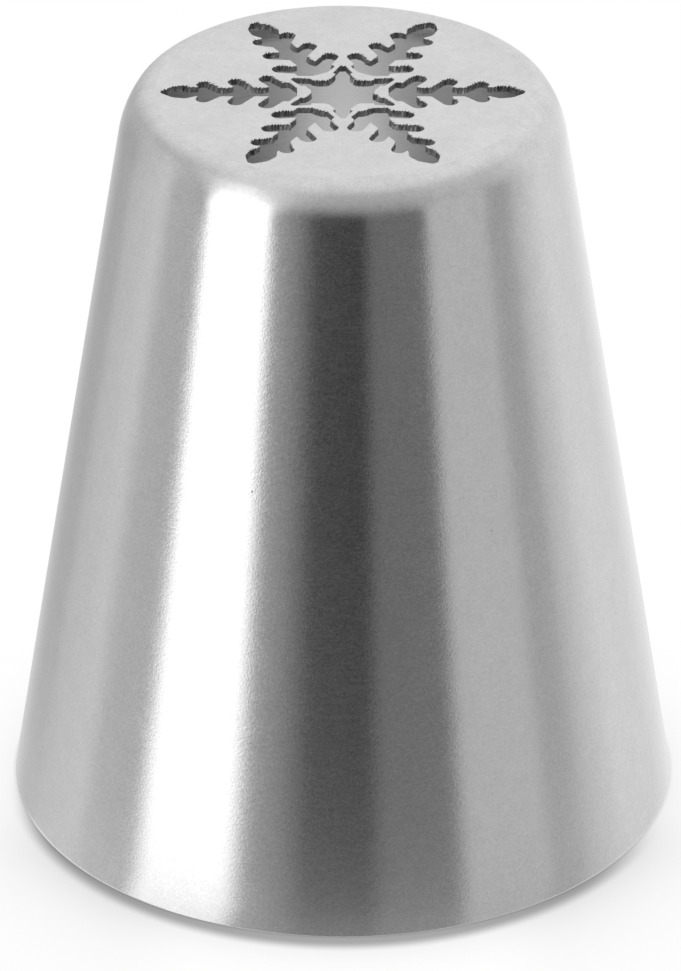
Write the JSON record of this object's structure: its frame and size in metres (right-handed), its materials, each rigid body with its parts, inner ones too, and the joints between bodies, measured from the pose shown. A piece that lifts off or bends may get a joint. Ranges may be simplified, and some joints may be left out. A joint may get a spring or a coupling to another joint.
{
  "type": "piping nozzle",
  "caption": "Conical stainless steel piping nozzle with a flat face cut through with a snowflake, for shaping icing or biscuit dough.",
  "frame": {"origin": "centre of the open base, on the plane that the base rim stands on", "axes": "+Z along the nozzle's axis, from the open base to the cut face; +X along one arm of the snowflake"},
  "size_m": [0.034, 0.034, 0.039],
  "materials": {
    "wall_steel": "satin, with fine brushing round the axis",
    "face_steel": "fine matt, bead blasted"
  },
  "bodies": {
    "root": {"nozzle_body": "wall_steel", "face_disc": "face_steel"}
  },
  "joints": []
}
